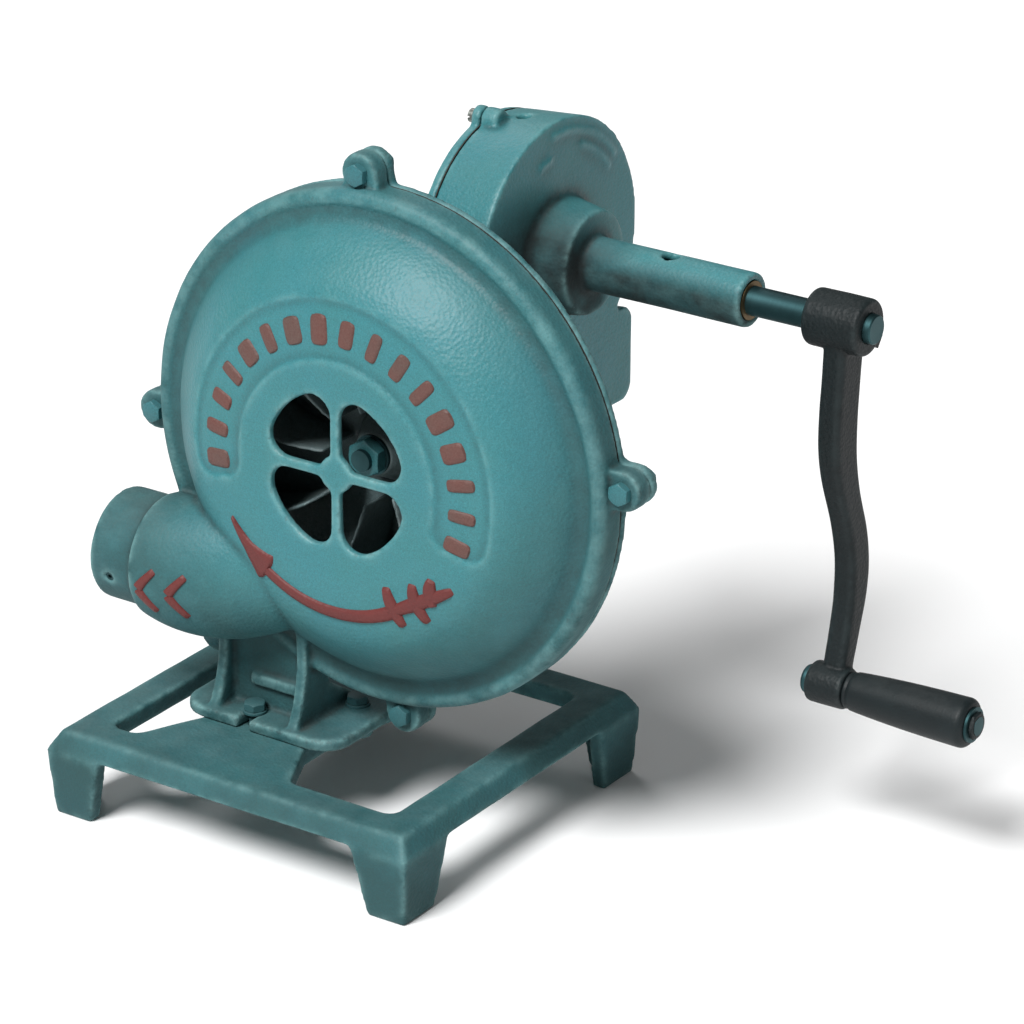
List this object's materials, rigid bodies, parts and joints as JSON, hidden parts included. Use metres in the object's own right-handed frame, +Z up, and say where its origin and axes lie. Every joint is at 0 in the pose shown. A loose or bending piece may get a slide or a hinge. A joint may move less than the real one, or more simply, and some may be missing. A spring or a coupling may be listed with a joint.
{
  "type": "hand crank forge blower",
  "caption": "Hand-cranked centrifugal forge blower: round cast fan case with side outlet on a low cast frame, worm gear head behind it and a long side crank with a turning grip.",
  "frame": {"origin": "on the floor plane, under the middle of the whole part", "axes": "+X along the crank shaft towards the crank, +Y from the intake side to the back, +Z up"},
  "size_m": [0.5434, 0.3536, 0.4584],
  "materials": {
    "teal_casting": "hammered teal enamel on sand-cast iron",
    "teal_fastener": "teal enamel over steel, chipped at the corners",
    "impeller_paint": "thin teal paint on a cast wheel",
    "black_forging": "near-black paint on a forging",
    "black_grip": "matt black turned grip",
    "plain_steel": "turned steel, lightly oiled",
    "plated_steel": "zinc-plated steel",
    "bronze": "turned bronze",
    "gasket_paper": "oiled gasket paper"
  },
  "bodies": {
    "base": {"bearing_cap": "teal_casting", "case_bolt_1": "teal_fastener", "case_bolt_2": "teal_fastener", "case_bolt_3": "teal_fastener", "case_bolt_4": "teal_fastener", "case_bolt_5": "teal_fastener", "case_gasket": "gasket_paper", "case_nut_1": "teal_fastener", "case_nut_2": "teal_fastener", "case_nut_3": "teal_fastener", "case_nut_4": "teal_fastener", "case_nut_5": "teal_fastener", "cover_screw_1": "plated_steel", "cover_screw_2": "plated_steel", "cover_screw_3": "plated_steel", "cover_screw_4": "plated_steel", "cover_screw_5": "plated_steel", "crank_bush_boss": "bronze", "crank_bush_inner": "bronze", "crank_bush_sleeve": "bronze", "drain_plug": "teal_fastener", "fan_bush_front": "bronze", "fan_bush_rear": "bronze", "fan_case_back": "teal_casting", "fan_case_front": "teal_casting", "foot_bolt_1": "teal_fastener", "foot_bolt_2": "teal_fastener", "foot_bolt_3": "teal_fastener", "foot_washer_1": "teal_fastener", "foot_washer_2": "teal_fastener", "foot_washer_3": "teal_fastener", "gear_housing": "teal_casting", "neck_screw_1": "teal_fastener", "neck_screw_2": "teal_fastener", "neck_screw_3": "teal_fastener", "neck_screw_4": "teal_fastener", "outlet_set_screw": "plain_steel", "side_cover": "teal_casting", "side_gasket": "gasket_paper", "stand_frame": "teal_casting"},
    "crank": {"crank_shaft": "plain_steel", "crank_wheel": "bronze", "wheel_key": "plain_steel", "thrust_collar": "plain_steel", "crank_arm": "black_forging", "hub_set_screw": "black_forging", "handle_pin": "plain_steel", "grip_washer": "plain_steel", "grip_nut": "plain_steel"},
    "fan": {"impeller": "impeller_paint", "impeller_washer": "plain_steel", "impeller_nut": "plain_steel", "fan_shaft": "plain_steel", "worm": "plain_steel", "worm_pin": "plain_steel"},
    "grip": {"handle_grip": "black_grip"}
  },
  "joints": [
    {"name": "crank_turn", "type": "hinge", "parent": "base", "child": "crank", "pos_m": [0.02585, 0.07575, 0.356], "axis": [1, 0, 0], "continuous": true},
    {"name": "fan_spin", "type": "hinge", "parent": "base", "child": "fan", "pos_m": [-0.07415, -0.02225, 0.267], "axis": [0, 1, 0], "continuous": true},
    {"name": "grip_spin", "type": "hinge", "parent": "crank", "child": "grip", "pos_m": [0.21985, 0.07575, 0.11], "axis": [1, 0, 0], "continuous": true}
  ],
  "couplings": [
    {"joint": "fan_spin", "follows": "crank_turn", "ratio": -16}
  ]
}
